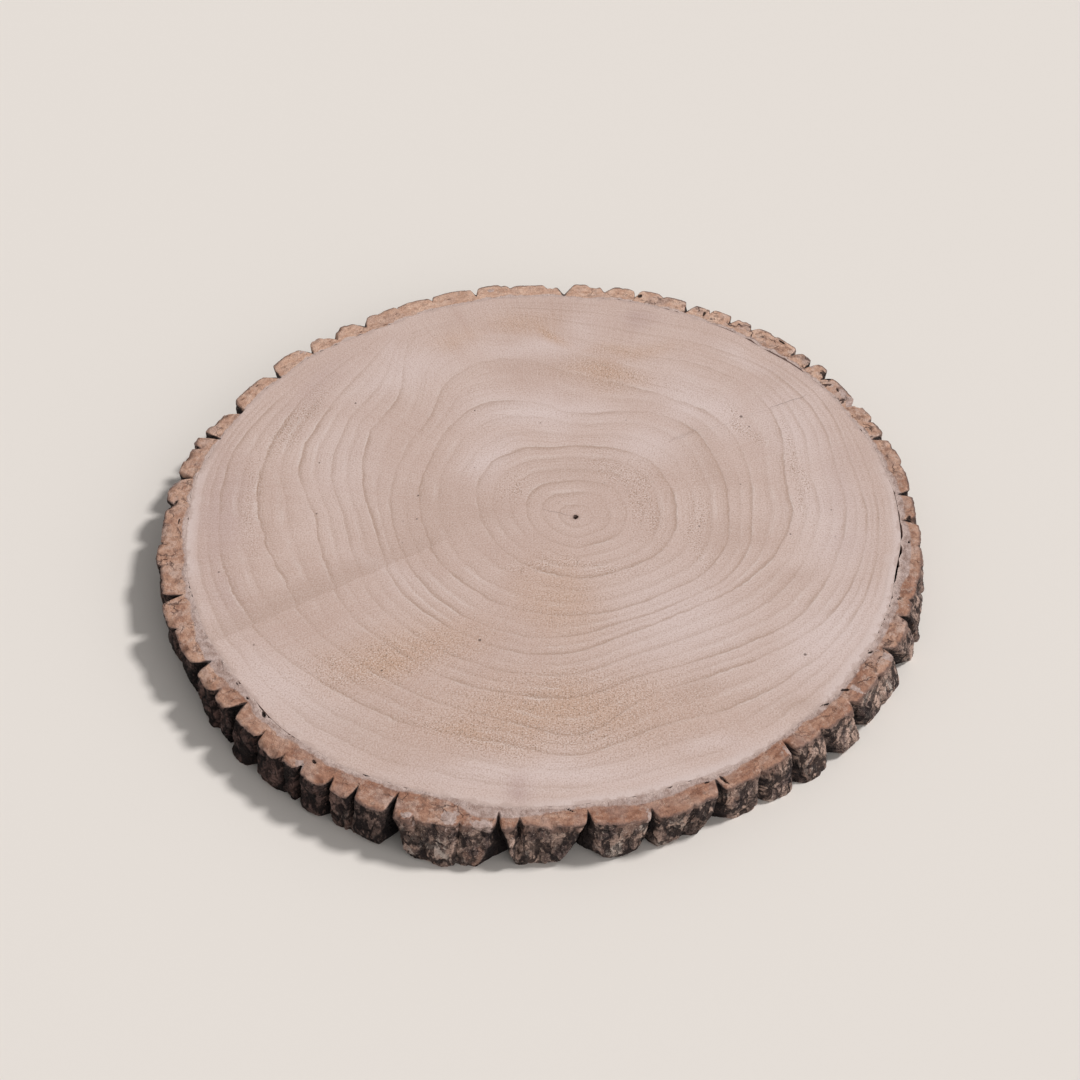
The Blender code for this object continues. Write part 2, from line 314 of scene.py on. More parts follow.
def buildCrackNet():      # thin wandering cracks between cells, that come and go
    group, sheet, entry, leave = newGroup(
        "crackNet",
        [("Vector", "NodeSocketVector", None), ("Scale", "NodeSocketFloat", 100.0),
         ("Width", "NodeSocketFloat", 0.05), ("Wander", "NodeSocketFloat", 0.004),
         ("Share", "NodeSocketFloat", 0.6)],
        [("Mask", "NodeSocketFloat")])
    cloud = sheet.add("ShaderNodeTexNoise", Vector=entry.outputs["Vector"], Scale=260.0, Detail=3.0)
    shift = sheet.add("ShaderNodeVectorMath", {"operation": "SUBTRACT"}, in_0=cloud.outputs["Color"],
                      in_1=(0.5, 0.5, 0.5))
    moved = sheet.add("ShaderNodeVectorMath", {"operation": "SCALE"}, in_0=shift.outputs[0],
                      Scale=entry.outputs["Wander"])
    bent = sheet.add("ShaderNodeVectorMath", {"operation": "ADD"}, in_0=entry.outputs["Vector"],
                     in_1=moved.outputs[0])
    cell = sheet.add("ShaderNodeTexVoronoi", {"feature": "DISTANCE_TO_EDGE"}, Vector=bent.outputs[0],
                     Scale=entry.outputs["Scale"])
    patchy = sheet.noise(entry.outputs["Vector"], sheet.maths("MULTIPLY", entry.outputs["Scale"], 1.3), 3.0)
    low = sheet.maths("SUBTRACT", 0.85, sheet.maths("MULTIPLY", entry.outputs["Share"], 0.7))
    gaping = sheet.spread(patchy, low, sheet.maths("ADD", low, 0.2))
    half = sheet.maths("MAXIMUM", sheet.maths("MULTIPLY", entry.outputs["Width"], gaping), 0.0001)
    dark = sheet.spread(cell.outputs["Distance"], sheet.maths("MULTIPLY", half, 0.3), half, 1.0, 0.0)
    sheet.tree.links.new(sheet.maths("MULTIPLY", dark, gaping), leave.inputs["Mask"])
    return group


def buildCrackLine():      # a thin crack between two points of the upper face, ragged and tapered
    group, sheet, entry, leave = newGroup(
        "crackLine",
        [("Vector", "NodeSocketVector", None), ("Start", "NodeSocketVector", (0.0, 0.0, 0.0)),
         ("Along", "NodeSocketVector", (1.0, 0.0, 0.0)), ("Length", "NodeSocketFloat", 0.01),
         ("Width", "NodeSocketFloat", 0.0005), ("Wander", "NodeSocketFloat", 0.001)],
        [("Mask", "NodeSocketFloat"), ("Side", "NodeSocketFloat"), ("Reach", "NodeSocketFloat")])
    wobble = sheet.noise(entry.outputs["Vector"], 260.0, 2.0)
    shift = sheet.maths("MULTIPLY", sheet.maths("SUBTRACT", wobble, 0.5), entry.outputs["Wander"])
    offset = sheet.add("ShaderNodeVectorMath", {"operation": "SUBTRACT"}, in_0=entry.outputs["Vector"],
                       in_1=entry.outputs["Start"])
    reach = sheet.add("ShaderNodeVectorMath", {"operation": "DOT_PRODUCT"}, in_0=offset.outputs[0],
                      in_1=entry.outputs["Along"])
    across = sheet.add("ShaderNodeVectorMath", {"operation": "CROSS_PRODUCT"},
                       in_0=entry.outputs["Along"], in_1=offset.outputs[0])
    across = sheet.add("ShaderNodeSeparateXYZ", Vector=across.outputs[0])
    side = sheet.maths("ADD", across.outputs["Z"], shift)
    share = sheet.maths("DIVIDE", reach.outputs["Value"], entry.outputs["Length"])
    swell = sheet.maths("MULTIPLY", sheet.maths("MULTIPLY", share, sheet.maths("SUBTRACT", 1.0, share)), 4.0)
    taper = sheet.maths("MAXIMUM", swell, 0.0001)
    half = sheet.maths("MULTIPLY", entry.outputs["Width"], taper)
    dark = sheet.spread(sheet.maths("ABSOLUTE", side), 0.0, half, 1.0, 0.0)
    inside = sheet.maths("GREATER_THAN", swell, 0.0)
    sheet.tree.links.new(sheet.maths("MULTIPLY", dark, inside), leave.inputs["Mask"])
    sheet.tree.links.new(side, leave.inputs["Side"])
    sheet.tree.links.new(share, leave.inputs["Reach"])
    return group


shared = {"specks": buildSpecks(), "patches": buildPatches(), "polarGrain": buildPolarGrain(),
          "crackNet": buildCrackNet(), "crackLine": buildCrackLine()}


def place(sheet, name, output=0, **inputs):      # one shared group, with this material's own values
    return sheet.add("ShaderNodeGroup", {"node_tree": shared[name]}, **inputs).outputs[output]


print("shared shader groups built")


# Wood

woodPiece = {
    "spokes": 360, "topSteps": 72, "wallSteps": 4, "underSteps": 44, "holeSteps": 4,
    # Clear annual rings: years of growth, radius from the pith in mm every 15 degrees
    "rings": [
        (6, [41, 42, 43, 45.4, 44.7, 42.5, 41.7, 42.3, 45.8, 46.3, 45, 41.5,
             38.5, 36, 34.5, 33.5, 33, 33, 33.5, 33.6, 34.2, 36, 38.8, 40]),
        (9, [62, 64.4, 67.5, 71.9, 71.3, 65, 61.8, 71.3, 78, 75, 69.3, 66,
             63, 61, 59, 57, 56, 54.5, 53.5, 53, 53.2, 55.2, 59.5, 61.8]),
        (11, [71, 74.5, 80.4, 84, 82.7, 82.5, 87.5, 100.5, 100.5, 85.5, 81, 78,
              75.5, 72.5, 71, 70, 68.5, 67, 64, 60, 60, 62.5, 68, 70.5]),
        (13, [87.4, 89.5, 100.3, 109, 108.3, 104.5, 112, 127, 137, 105.5, 99.6, 91.5,
              83, 80, 80, 77.9, 76.4, 75.6, 71.8, 66, 64.8, 67.8, 74.6, 81.5]),
        (17, [109.5, 112, 119.5, 123.5, 121, 118, 122, 132, 139.5, 128.3, 123, 119,
              106, 103.5, 102.5, 99.5, 98.7, 96, 94, 87.5, 89, 94.5, 102.3, 105.2]),
        (19, [118, 119, 126, 131, 130, 128, 130, 136, 141, 138, 136.5, 134,
              129.6, 122, 118, 113.5, 110.4, 109, 112.5, 97.5, 97.5, 103, 111, 115]),
        (21, [122.5, 125, 130, 136, 136, 134, 135, 139, 142, 142.5, 145, 148,
              145, 142.5, 136, 129, 124, 119.5, 121, 112.5, 114.5, 116.5, 119.5, 121])],
    "lastRing": 24,
    "leastGrowth": 0.8,
    # How dark each ring's line is, from the pith out
    "ringStrength": [0.5, 0.6, 0.8, 0.35, 0.45, 0.95, 0.3, 0.4, 0.9, 0.3, 0.85, 0.3,
                     1.0, 0.3, 0.55, 0.35, 1.0, 0.35, 1.0, 0.4, 0.85, 0.35, 0.45, 0.3],
    # Stains: kind, x, y, half length, half width in mm, turn in degrees, strength
    "stains": [
        ("ochre", -60, -73, 15, 8, 8, 1.0), ("ochre", -52, -68, 34, 14, 20, 0.75),
        ("ochre", 8, -42, 24, 18, 100, 0.65), ("ochre", 8, -97, 48, 19, 3, 0.9),
        ("ochre", -25, -107, 19, 6, -18, 0.8), ("ochre", 30, 92, 19, 9, -12, 0.85),
        ("ochre", 38, 106, 22, 5, 3, 0.6), ("ochre", -38, 115, 11, 9, 20, 0.5),
        ("ochre", -8, 125, 18, 8, 0, 0.55), ("ochre", 4, 118, 11, 4, -60, 0.9),
        ("brown", -70, -105, 26, 8, -33, 0.55), ("brown", -48, 17, 8, 7, 0, 0.55),
        ("brown", -39, 17, 9, 6, 90, 0.45), ("brown", -45, 8, 32, 24, 20, 0.4),
        ("brown", -20, 6, 10, 9, 0, 0.5), ("brown", -100, 62, 16, 4, 62, 0.6),
        ("brown", 70, 38, 24, 8, 105, 0.45), ("brown", 75, -6, 12, 9, 110, 0.5),
        ("brown", 16, 32, 20, 9, 10, 0.45), ("brown", 14, 24, 13, 3, 0, 0.35),
        ("brown", 97, -95, 12, 4, 25, 0.6), ("brown", 58, -86, 11, 5, 20, 0.6),
        ("brown", 100, -30, 14, 5, 30, 0.35), ("brown", 110, -46, 9, 3, 25, 0.3),
        ("brown", 100, 85, 12, 6, 70, 0.3), ("brown", -92, -36, 26, 8, 32, 0.4),
        ("brown", 45, 84, 40, 9, -12, 0.15), ("brown", 5, 98, 36, 9, 0, 0.3),
        ("mauve", -7, -133, 8, 5, 70, 1.0), ("mauve", -129, 5, 44, 12, 92, 0.8),
        ("mauve", -124, -36, 18, 9, 110, 0.7), ("mauve", -97, 82, 26, 8, 60, 0.5),
        ("mauve", 44, 129, 10, 6, 10, 0.8), ("mauve", 122, 25, 30, 8, 90, 0.35),
        ("mauve", 122, -8, 14, 8, 80, 0.3),
        ("pale", 0, 68, 34, 14, 0, 1.0), ("pale", 66, 74, 34, 17, -35, 1.0),
        ("pale", -22, 40, 17, 11, 50, 1.0), ("pale", -82, 38, 36, 20, 95, 0.5),
        ("pale", -62, 92, 34, 17, 38, 0.75), ("pale", 106, 58, 34, 20, 100, 0.85),
        ("pale", 112, -58, 38, 20, 55, 1.0), ("pale", 55, -52, 34, 30, 0, 0.75),
        ("pale", 118, 0, 50, 20, 90, 0.8), ("pale", 62, -113, 18, 5, 12, 0.7),
        ("pale", 0, 108, 30, 8, 0, 0.75), ("pale", 45, 48, 22, 14, 0, 0.8),
        ("pale", 0, -126, 66, 9, 2, 0.85), ("pale", -96, -86, 40, 14, -42, 0.85),
        ("pale", 20, 122, 14, 8, 90, 0.5), ("pale", -66, 100, 24, 6, 80, 0.6),
        ("pale", -60, -25, 26, 6, -30, 0.4), ("pale", 90, 100, 24, 6, -40, 0.6)],
    # Dark knots the size of a pin: x, y, radius in mm
    "dots": [(-79, 72.7, 0.6), (-91.7, 36, 0.5), (-50, 16.7, 0.6), (-50, 3.3, 0.5), (-23.3, -61.7, 0.8),
             (85, 64.3, 0.9), (-60, -77, 0.6), (100.5, -69, 0.8), (88, 58, 0.5), (-28, 68, 0.5)],
    # Bands of open pores: x, y, half length, half width in mm, turn in degrees, strength
    "poreBands": [
        (-103, 60, 24, 5, 64, 1.0), (86, 58, 13, 3, 118, 1.0), (106, 30, 28, 3, 96, 0.8),
        (-60, -73, 26, 8, 12, 1.0), (-25, -107, 24, 6, -18, 0.9), (10, -110, 30, 6, 4, 0.8),
        (42, 14, 22, 6, 100, 0.8), (32, 28, 12, 6, 135, 0.8), (14, -24, 26, 4, 0, 0.7),
        (-10, 22, 10, 6, 50, 0.6), (64, 0, 34, 3, 92, 0.6), (10, -90, 44, 14, 4, 0.5),
        (-118, 10, 30, 4, 96, 0.5), (28, 92, 24, 8, -10, 0.4)],
}


def rimFromPith(turn):      # mm from the pith to the edge of the wood
    pith = Vector(sliceForm["pith"])
    heading = Vector((math.cos(turn), math.sin(turn)))
    reach = 140.0
    for _ in range(8):
        point = pith + heading * reach
        reach += woodRadius(math.degrees(math.atan2(point.y, point.x))) - point.length
    return reach


def ringRadii(turn):      # years and mm from the pith, from the pith to the rim
    rim = rimFromPith(turn)
    rings = woodPiece["rings"]
    least = woodPiece["leastGrowth"]
    years, radii = [0], [0.0]
    for number, (year, values) in enumerate(rings):
        roomLeft = least * (woodPiece["lastRing"] - year)
        radius = min(around(values, math.degrees(turn)), rim - roomLeft)
        radii.append(max(radii[-1] + least * (year - years[-1]), radius))
        years.append(year)
    return years + [woodPiece["lastRing"]], radii + [max(rim, radii[-1] + least)]


def ringAge(radius, years, radii):      # years at a radius, and mm a year there
    for k in range(1, len(years)):
        if radius <= radii[k] or k == len(years) - 1:
            growth = (radii[k] - radii[k - 1]) / (years[k] - years[k - 1])
            return years[k - 1] + (radius - radii[k - 1]) / growth, growth


def softSpot(x, y, spot):
    left, low, long, wide, turn = spot
    turn = math.radians(turn)
    dx, dy = x - left, y - low
    along = (dx * math.cos(turn) + dy * math.sin(turn)) / long
    across = (dy * math.cos(turn) - dx * math.sin(turn)) / wide
    return math.exp(-1.3 * (along * along + across * across))


def woodMarks(x, y):      # how strongly each stain shows at a point, in mm from the middle
    at = Vector((x, y, 0)) * 0.06
    x, y = x + 5 * noise.noise(at), y + 5 * noise.noise(at + Vector((0, 0, 9)))
    marks = {"ochre": 0.0, "brown": 0.0, "mauve": 0.0, "pale": 0.0, "pores": 0.0}
    for kind, *spot, strength in woodPiece["stains"]:
        marks[kind] = max(marks[kind], strength * softSpot(x, y, spot))
    for *spot, strength in woodPiece["poreBands"]:
        marks["pores"] = max(marks["pores"], strength * softSpot(x, y, spot))
    return marks


def steps(start, end, count):
    return [start + (end - start) * k / count for k in range(count)]


def ringGrid(columns, rows, marks):      # a flat sheet of columns and rows that closes both ways once placed
    bm = bmesh.new()
    layers = {name: bm.verts.layers.float.new(name) for name in marks}
    bmesh.ops.create_grid(bm, x_segments=columns, y_segments=len(rows), size=1)
    places = []
    for vertex in bm.verts:
        column = round((vertex.co.x + 1) / 2 * columns) % columns
        row = round((vertex.co.y + 1) / 2 * len(rows)) % len(rows)
        places.append((vertex, column, *rows[row]))
    return bm, layers, places


def closeRing(bm):
    bmesh.ops.remove_doubles(bm, verts=bm.verts, dist=1e-7)
    bmesh.ops.recalc_face_normals(bm, faces=bm.faces)


def finishPiece(bm, name, material, node):
    mesh = bpy.data.meshes.new(name)
    bm.to_mesh(mesh)
    bm.free()
    mesh.shade_smooth()
    mesh.set_sharp_from_angle(angle=math.radians(48))
    mesh.materials.append(material)
    piece = bpy.data.objects.new(name, mesh)
    bpy.context.scene.collection.objects.link(piece)
    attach(piece, "root")
    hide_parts(node)
    print(name, "has", len(mesh.polygons), "faces")
    return piece


def woodMaterial():
    material = bpy.data.materials.new("sawnWood")
    material.use_nodes = True
    sheet = NodeSheet(material.node_tree)
    shader = material.node_tree.nodes["Principled BSDF"]
    spot = sheet.add("ShaderNodeTexCoord").outputs["Object"]
    pith = ((sliceForm["pith"][0] * mm + middle[0]), (sliceForm["pith"][1] * mm + middle[1]), 0.0)

    # The saw step: a line left of the pith, across which the rings jog and the shade changes
    step = sheet.add("ShaderNodeGroup", {"node_tree": shared["crackLine"]}, Vector=spot,
                     Start=(pith[0] - 0.132, pith[1] - 0.063, 0.0), Along=(0.848, 0.530, 0.0),
                     Length=0.098, Width=0.0008, Wander=0.003)
    onStep = sheet.maths("MULTIPLY", sheet.spread(step.outputs["Reach"], -0.25, 0.0),
                         sheet.spread(step.outputs["Reach"], 0.85, 1.1, 1.0, 0.0))
    upper = sheet.maths("MULTIPLY", onStep, sheet.maths("GREATER_THAN", step.outputs["Side"], 0.0))
    nearUpper = sheet.maths("MULTIPLY", upper, sheet.spread(step.outputs["Side"], 0.0, 0.016, 1.0, 0.0))

    # Annual rings
    wobble = sheet.maths("MULTIPLY", sheet.maths("SUBTRACT", sheet.noise(spot, 90.0, 3.0), 0.5), 0.42)
    ripple = sheet.maths("MULTIPLY", sheet.maths("SUBTRACT", sheet.noise(spot, 420.0, 2.0), 0.5), 0.10)
    age = sheet.maths("ADD", sheet.mark("ringAge"), sheet.maths("ADD", wobble, ripple))
    age = sheet.maths("ADD", age, sheet.maths("MULTIPLY", upper, 0.12))
    growth = sheet.mark("growth")
    share = sheet.maths("FRACT", age)
    inside = sheet.maths("MULTIPLY", sheet.maths("SUBTRACT", 1.0, share), growth)
    outside = sheet.maths("MULTIPLY", share, growth)
    broken = sheet.noise(spot, 75.0, 3.0)
    width = sheet.spread(broken, 0.35, 0.65, 1.0, 2.4)
    line = sheet.maths("MAXIMUM", sheet.spread(inside, 0.0, width, 1.0, 0.0),
                       sheet.spread(outside, 0.0, 0.6, 1.0, 0.0))
    ringNumber = sheet.maths("DIVIDE", sheet.maths("SUBTRACT", age, 0.12), 24.0)
    strengths = sheet.add("ShaderNodeValToRGB", Fac=ringNumber)
    bands = strengths.color_ramp
    bands.interpolation = "CONSTANT"
    for number, strength in enumerate(woodPiece["ringStrength"]):
        stop = bands.elements[number] if number < 2 else bands.elements.new(number / 24)
        stop.position = number / 24
        stop.color = (strength, strength, strength, 1)
    fading = sheet.spread(sheet.noise(spot, 34.0, 2.0), 0.38, 0.60, 0.35, 1.0)
    depth = sheet.add("ShaderNodeSeparateXYZ", Vector=spot).outputs["Y"]
    fading = sheet.maths("MULTIPLY", fading, sheet.spread(depth, 0.05, 0.11, 1.0, 0.45))
    fading = sheet.maths("MULTIPLY", fading, sheet.spread(growth, 0.8, 2.4, 0.2, 1.0))
    lineMask = sheet.maths("MULTIPLY", sheet.maths("MULTIPLY", line, strengths.outputs[0]), fading)
    clear = sheet.maths("MULTIPLY", fading, sheet.spread(strengths.outputs[0], 0.25, 0.9, 0.25, 1.0))
    late = sheet.maths("MULTIPLY", sheet.spread(share, 0.35, 1.0), clear)
    fine = sheet.maths("FRACT", sheet.maths("ADD", sheet.maths("MULTIPLY", age, 3.0),
                                            sheet.maths("MULTIPLY", sheet.noise(spot, 60.0, 2.0), 1.2)))
    fineLine = sheet.maths("MULTIPLY", sheet.spread(fine, 0.72, 1.0), sheet.spread(growth, 2.5, 7.0))
    fineLine = sheet.maths("MULTIPLY", fineLine, sheet.spread(sheet.noise(spot, 34.0), 0.4, 0.65))

    # Colour
    mottle = sheet.noise(spot, 30.0, 5.0, 0.6)
    colour = sheet.mix(sheet.spread(mottle, 0.3, 0.7), (0.552, 0.398, 0.345), (0.622, 0.472, 0.422))
    colour = sheet.mix(sheet.maths("MULTIPLY", sheet.mark("pale"), 0.95), colour, (0.700, 0.570, 0.545))
    colour = sheet.mix(sheet.maths("MULTIPLY", sheet.mark("brown"), 0.8), colour, (0.470, 0.330, 0.275))
    colour = sheet.mix(sheet.maths("MULTIPLY", sheet.mark("mauve"), 0.9), colour, (0.490, 0.350, 0.325))
    colour = sheet.mix(sheet.maths("MULTIPLY", sheet.mark("ochre"), 0.9), colour, (0.535, 0.335, 0.230))
    rays = place(sheet, "polarGrain", Vector=spot, Centre=pith, Round=90.0, Out=12.0, Detail=4.0)
    colour = sheet.mix(sheet.spread(rays, 0.35, 0.7, 0.0, 0.16), colour, (0.720, 0.600, 0.550))
    colour = sheet.mix(sheet.maths("MULTIPLY", late, 0.24), colour, (0.430, 0.290, 0.225))
    colour = sheet.mix(sheet.maths("MULTIPLY", fineLine, 0.26), colour, (0.400, 0.265, 0.200))
    early = sheet.maths("MULTIPLY", sheet.spread(share, 0.45, 0.08), sheet.spread(broken, 0.40, 0.62))
    early = sheet.maths("MULTIPLY", early, clear)
    colour = sheet.mix(sheet.maths("MULTIPLY", early, 0.45), colour, (0.730, 0.620, 0.580))
    colour = sheet.mix(sheet.maths("MULTIPLY", lineMask, 0.48), colour, (0.330, 0.205, 0.145))
    colour = sheet.mix(sheet.maths("MULTIPLY", nearUpper, 0.30), colour, (0.420, 0.290, 0.235))

    # Pores, fibres and dirt
    porous = sheet.maths("ADD", sheet.mark("pores"), sheet.maths("MULTIPLY", sheet.mark("ochre"), 0.5))
    porous = sheet.maths("ADD", porous, 0.22, clamp=True)
    grainy = sheet.maths("MULTIPLY", porous, sheet.spread(share, 0.0, 0.6, 0.6, 1.0))
    dots = place(sheet, "specks", Vector=spot, Scale=1000.0, Size=0.24, Share=0.6)
    dots = sheet.maths("MULTIPLY", dots, grainy)
    colour = sheet.mix(sheet.maths("MULTIPLY", dots, 0.65), colour, (0.300, 0.180, 0.105))
    fuzz = sheet.noise(spot, 1500.0, 2.0, 0.8)
    stipple = sheet.spread(grainy, 0.1, 0.8, 0.38, 0.85)
    sunk = sheet.maths("MULTIPLY", sheet.spread(fuzz, 0.50, 0.62), stipple)
    raised = sheet.maths("MULTIPLY", sheet.spread(fuzz, 0.50, 0.36), sheet.maths("MULTIPLY", stipple, 0.65))
    colour = sheet.mix(sunk, colour, (0.390, 0.255, 0.195))
    colour = sheet.mix(raised, colour, (0.780, 0.670, 0.635))
    grit = place(sheet, "specks", Vector=spot, Scale=110.0, Size=0.035, Share=0.28)
    colour = sheet.mix(sheet.maths("MULTIPLY", grit, 0.75), colour, (0.110, 0.070, 0.055))

    # Paler sapwood along the bark
    rimGap = sheet.mark("rimGap")
    paleRim = sheet.maths("ADD", rimGap, sheet.maths("MULTIPLY", sheet.noise(spot, 120.0, 3.0), 5.0))
    front = sheet.spread(depth, 0.0, 0.11, 0.75, 0.1)
    front = sheet.maths("MULTIPLY", front, sheet.spread(sheet.noise(spot, 20.0, 2.0), 0.38, 0.60))
    colour = sheet.mix(sheet.maths("MULTIPLY", sheet.spread(paleRim, 2.5, 9.0, 1.0, 0.0), front),
                       colour, (0.690, 0.575, 0.550))
    frayed = sheet.maths("SUBTRACT", sheet.noise(spot, 260.0, 4.0, 0.65), 0.5)
    frayed = sheet.maths("ADD", rimGap, sheet.maths("MULTIPLY", frayed, 8.0))
    colour = sheet.mix(sheet.spread(frayed, 0.1, 1.3, 0.7, 0.0), colour, (0.500, 0.375, 0.335))

    # Cracks
    cracks = [(pith[0] - 0.0145, pith[1] + 0.0045, 0.954, -0.300, 0.014, 0.00035, 0.28),
              (pith[0] + 0.0825, pith[1] + 0.0650, 0.900, 0.436, 0.0200, 0.00045, 0.34),
              (pith[0] + 0.0388, pith[1] + 0.0439, 0.908, 0.418, 0.0650, 0.00040, 0.10),
              (pith[0] + 0.0388, pith[1] + 0.0439, 0.850, 0.520, 0.0160, 0.00200, 0.12)]
    crackMask = 0.0
    for x, y, alongX, alongY, length, width, depth in cracks:
        crack = place(sheet, "crackLine", Vector=spot, Start=(x, y, 0.0), Along=(alongX, alongY, 0.0),
                      Length=length, Width=width, Wander=0.0022)
        crackMask = sheet.maths("MAXIMUM", sheet.maths("MULTIPLY", crack, depth), crackMask)
    for x, y, radius in woodPiece["dots"]:
        away = sheet.add("ShaderNodeVectorMath", {"operation": "DISTANCE"}, in_0=spot,
                         in_1=(middle[0] + x * mm, middle[1] + y * mm, sliceForm["thickness"] * mm))
        crackMask = sheet.maths("MAXIMUM", crackMask, sheet.spread(
            away.outputs["Value"], radius * 0.4 * mm, radius * mm, 0.75, 0.0))
    colour = sheet.mix(crackMask, colour, (0.100, 0.062, 0.050))
    fromPith = sheet.add("ShaderNodeVectorMath", {"operation": "SUBTRACT"}, in_0=spot, in_1=pith)
    fromPith = sheet.add("ShaderNodeVectorMath", {"operation": "MULTIPLY"}, in_0=fromPith.outputs[0],
                         in_1=(1.0, 1.0, 0.0))
    fromPith = sheet.add("ShaderNodeVectorMath", {"operation": "LENGTH"}, in_0=fromPith.outputs[0])
    heart = sheet.maths("ADD", fromPith.outputs["Value"],
                        sheet.maths("MULTIPLY", sheet.noise(spot, 600.0, 3.0), 0.0016))
    colour = sheet.mix(sheet.spread(heart, 0.0018, 0.0036, 0.45, 0.0), colour, (0.300, 0.200, 0.155))
    colour = sheet.mix(sheet.spread(heart, 0.0017, 0.0022, 1.0, 0.0), colour, (0.085, 0.052, 0.042))
    sheet.tree.links.new(colour, shader.inputs["Base Color"])

    # Surface
    relief = sheet.maths("SUBTRACT", sheet.maths("MULTIPLY", fuzz, 0.5), sheet.maths("MULTIPLY", dots, 0.8))
    relief = sheet.maths("SUBTRACT", relief, sheet.maths("MULTIPLY", crackMask, 2.0))
    relief = sheet.maths("SUBTRACT", relief, sheet.maths("MULTIPLY", lineMask, 0.25))
    bump = sheet.add("ShaderNodeBump", Height=relief, Strength=0.5, Distance=0.0004)
    sheet.tree.links.new(bump.outputs["Normal"], shader.inputs["Normal"])
    sheet.tree.links.new(sheet.spread(fuzz, 0.3, 0.7, 0.62, 0.78), shader.inputs["Roughness"])
    shader.inputs["Specular IOR Level"].default_value = 0.25
    return material


def makeWood():
    top = [(share, 1) for share in steps(0, 1, woodPiece["topSteps"])]
    wall = [(1, level) for level in steps(1, 0, woodPiece["wallSteps"])]
    under = [(share, 0) for share in steps(1, 0, woodPiece["underSteps"])]
    hole = [(0, level) for level in steps(0, 1, woodPiece["holeSteps"])]
    bm, layers, places = ringGrid(
        woodPiece["spokes"], top + wall + under + hole,
        ("ringAge", "growth", "ochre", "brown", "mauve", "pale", "pores", "rimGap"))
    rays = []
    for number in range(woodPiece["spokes"]):
        turn = math.tau * number / woodPiece["spokes"]
        rays.append((turn, rimFromPith(turn), *ringRadii(turn)))
    for vertex, column, share, level in places:
        turn, rim, years, radii = rays[column]
        holeWave = 1 + 0.45 * noise.noise(Vector((math.cos(turn), math.sin(turn), 3.0)) * 1.7)
        start = sliceForm["pithRadius"] * holeWave
        radius = start + share * (rim - start)
        x = sliceForm["pith"][0] + radius * math.cos(turn)
        y = sliceForm["pith"][1] + radius * math.sin(turn)
        vertex.co = (middle[0] + x * mm, middle[1] + y * mm, level * sliceForm["thickness"] * mm)
        vertex[layers["ringAge"]], vertex[layers["growth"]] = ringAge(radius, years, radii)
        for kind, value in woodMarks(x, y).items():
            vertex[layers[kind]] = value
        vertex[layers["rimGap"]] = rim - radius
    closeRing(bm)
    return finishPiece(bm, "wood_disc", woodMaterial(), "wood")


makeWood()


# Bark

